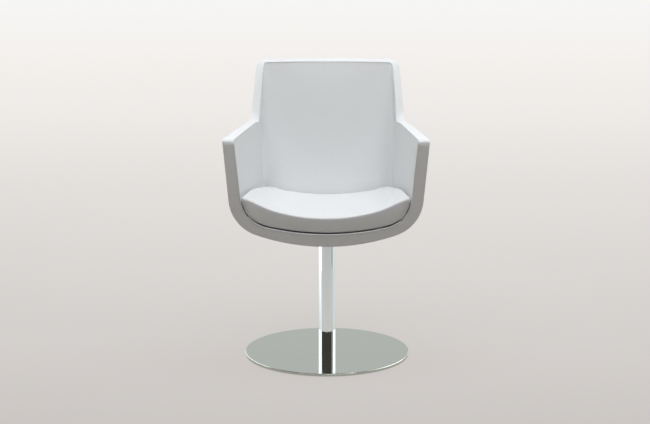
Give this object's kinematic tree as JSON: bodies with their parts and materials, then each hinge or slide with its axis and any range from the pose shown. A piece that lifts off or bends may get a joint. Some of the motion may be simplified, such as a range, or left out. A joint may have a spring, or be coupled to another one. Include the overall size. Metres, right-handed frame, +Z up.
{
  "type": "pedestal swivel armchair",
  "caption": "Leather tub armchair with a flat border band, raked wings and a loose dished seat cushion, turning on a chrome column and a round polished steel foot.",
  "frame": {"origin": "on the floor, on the axis of the column and of the swivel", "axes": "+Z up, -Y the way the sitter faces (front), +X to the right as seen from the front"},
  "size_m": [0.575, 0.5689, 0.8759],
  "materials": {
    "polished_steel": "polished",
    "pad_plastic": "matte",
    "chrome": "polished",
    "turned_steel": "satin",
    "zinc_screw": "satin",
    "bearing_steel": "satin",
    "ball_steel": "polished",
    "cage_brass": "satin",
    "bush_nylon": "satin",
    "plate_paint": "matte",
    "block_wood": "matte",
    "core_plywood": "matte",
    "foam": "matte",
    "white_leather": "satin",
    "zip_tape": "matte",
    "loop_tape": "matte",
    "hook_tape": "matte"
  },
  "bodies": {
    "base": {"base_disc": "polished_steel", "glide_pads": "pad_plastic", "column_tube": "chrome", "foot_plug": "turned_steel", "foot_screws": "zinc_screw", "bearing_housing": "turned_steel", "upper_bush": "bush_nylon", "lower_bush": "bush_nylon", "thrust_race_lower": "bearing_steel"},
    "bearing_cage": {"thrust_cage": "cage_brass", "thrust_balls": "ball_steel"},
    "seat": {"thrust_race_upper": "bearing_steel", "swivel_spindle": "turned_steel", "spindle_washer": "bearing_steel", "spindle_circlip": "bearing_steel", "swivel_skirt": "chrome", "seat_plate": "plate_paint", "mount_block": "block_wood", "insert_nuts": "turned_steel", "plate_washers": "zinc_screw", "plate_screws": "zinc_screw", "shell_core": "core_plywood", "shell_foam": "foam", "border_cover": "white_leather", "inner_cover": "white_leather", "outer_cover": "white_leather", "cushion_cover": "white_leather", "cushion_foam": "foam", "cushion_zip": "zip_tape", "loop_strips": "loop_tape", "hook_strips": "hook_tape"}
  },
  "joints": [
    {"name": "seat_swivel", "type": "hinge", "parent": "base", "child": "seat", "pos_m": [0, 0, 0.36498], "axis": [0, 0, 1], "continuous": true},
    {"name": "cage_turn", "type": "hinge", "parent": "base", "child": "bearing_cage", "pos_m": [0, 0, 0.36498], "axis": [0, 0, 1], "continuous": true}
  ],
  "couplings": [
    {"joint": "cage_turn", "follows": "seat_swivel", "ratio": 0.5}
  ]
}
